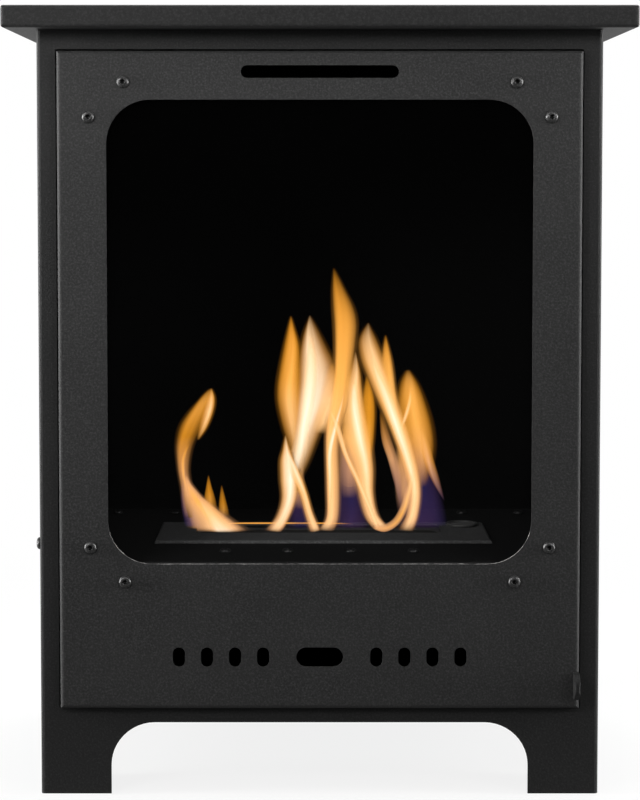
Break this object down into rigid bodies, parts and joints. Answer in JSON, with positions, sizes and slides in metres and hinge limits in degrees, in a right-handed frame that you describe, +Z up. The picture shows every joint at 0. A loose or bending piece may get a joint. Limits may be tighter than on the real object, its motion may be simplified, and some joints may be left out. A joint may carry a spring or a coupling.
{
  "type": "bioethanol fireplace",
  "caption": "Free-standing black sheet-steel bioethanol fireplace with an overhanging top, a glazed side-hinged door, arched legs and a lift-out burner.",
  "frame": {"origin": "on the ground under the middle of the top plate", "axes": "+Z up, +X to the right and +Y to the back as seen from the front; the door faces -Y"},
  "size_m": [0.48, 0.32, 0.607],
  "materials": {
    "powder_coat": "fine-textured black high-temperature powder coat, satin matt",
    "black_screw": "black oxide, semi-gloss",
    "door_glass": "clear ceramic glass, polished",
    "gasket": "woven glass-fibre tape, graphite grey",
    "zinc_steel": "zinc-plated steel",
    "burner_steel": "brushed stainless steel",
    "ceramic_wool": "matted white ceramic fibre, faintly scorched",
    "catch_plastic": "heat-resistant moulded plastic",
    "ferrite": "sintered ferrite magnet, dull"
  },
  "bodies": {
    "cabinet": {"top_plate": "powder_coat", "front_frame": "powder_coat", "left_side_panel": "powder_coat", "right_side_panel": "powder_coat", "back_panel": "powder_coat", "base_panel": "powder_coat", "firebox_floor": "powder_coat", "firebox_ceiling": "powder_coat", "front_cross_channel": "powder_coat", "rear_cross_channel": "powder_coat", "hinge_bracket_upper": "powder_coat", "hinge_bracket_lower": "powder_coat", "hinge_pin_upper": "black_screw", "hinge_pin_lower": "black_screw", "hinge_washer_upper": "zinc_steel", "hinge_washer_lower": "zinc_steel", "catch_housing": "catch_plastic", "catch_magnet": "ferrite", "catch_screw_lower": "black_screw", "catch_screw_upper": "black_screw", "side_screw_left": "black_screw", "back_screw_left_lower": "black_screw", "back_screw_left_middle": "black_screw", "back_screw_left_upper": "black_screw", "back_screw_right_lower": "black_screw", "back_screw_right_middle": "black_screw", "back_screw_right_upper": "black_screw", "top_screw_left_front": "black_screw", "top_screw_left_rear": "black_screw", "top_screw_right_front": "black_screw", "top_screw_right_rear": "black_screw", "floor_screw_front_1": "black_screw", "floor_screw_front_2": "black_screw", "floor_screw_front_3": "black_screw", "floor_screw_front_4": "black_screw", "floor_screw_rear_1": "black_screw", "floor_screw_rear_2": "black_screw", "floor_screw_rear_3": "black_screw", "floor_screw_rear_4": "black_screw"},
    "door": {"door_panel": "powder_coat", "pull_tab": "powder_coat", "glass_pane": "door_glass", "glass_gasket": "gasket", "catch_keeper": "zinc_steel", "glass_clip_upper_left": "zinc_steel", "glass_clip_upper_right": "zinc_steel", "glass_clip_lower_left": "zinc_steel", "glass_clip_lower_right": "zinc_steel", "glass_screw_upper_left_inner": "black_screw", "glass_screw_upper_left_outer": "black_screw", "glass_screw_upper_right_inner": "black_screw", "glass_screw_upper_right_outer": "black_screw", "glass_screw_lower_left_inner": "black_screw", "glass_screw_lower_left_outer": "black_screw", "glass_screw_lower_right_inner": "black_screw", "glass_screw_lower_right_outer": "black_screw"},
    "burner": {"burner_plate": "powder_coat", "burner_tank": "burner_steel", "ceramic_wool": "ceramic_wool"},
    "filler_cap": {"filler_cap": "burner_steel"}
  },
  "joints": [
    {"name": "door_hinge", "type": "hinge", "parent": "cabinet", "child": "door", "pos_m": [-0.19, -0.137, 0.321], "axis": [0, 0, -1], "range_deg": [0, 95]},
    {"name": "burner_lift", "type": "slide", "parent": "cabinet", "child": "burner", "axis": [0, 0, 1], "range_m": [0, 0.08]},
    {"name": "filler_cap_lift", "type": "slide", "parent": "burner", "child": "filler_cap", "axis": [0, 0, 1], "range_m": [0, 0.03]}
  ]
}
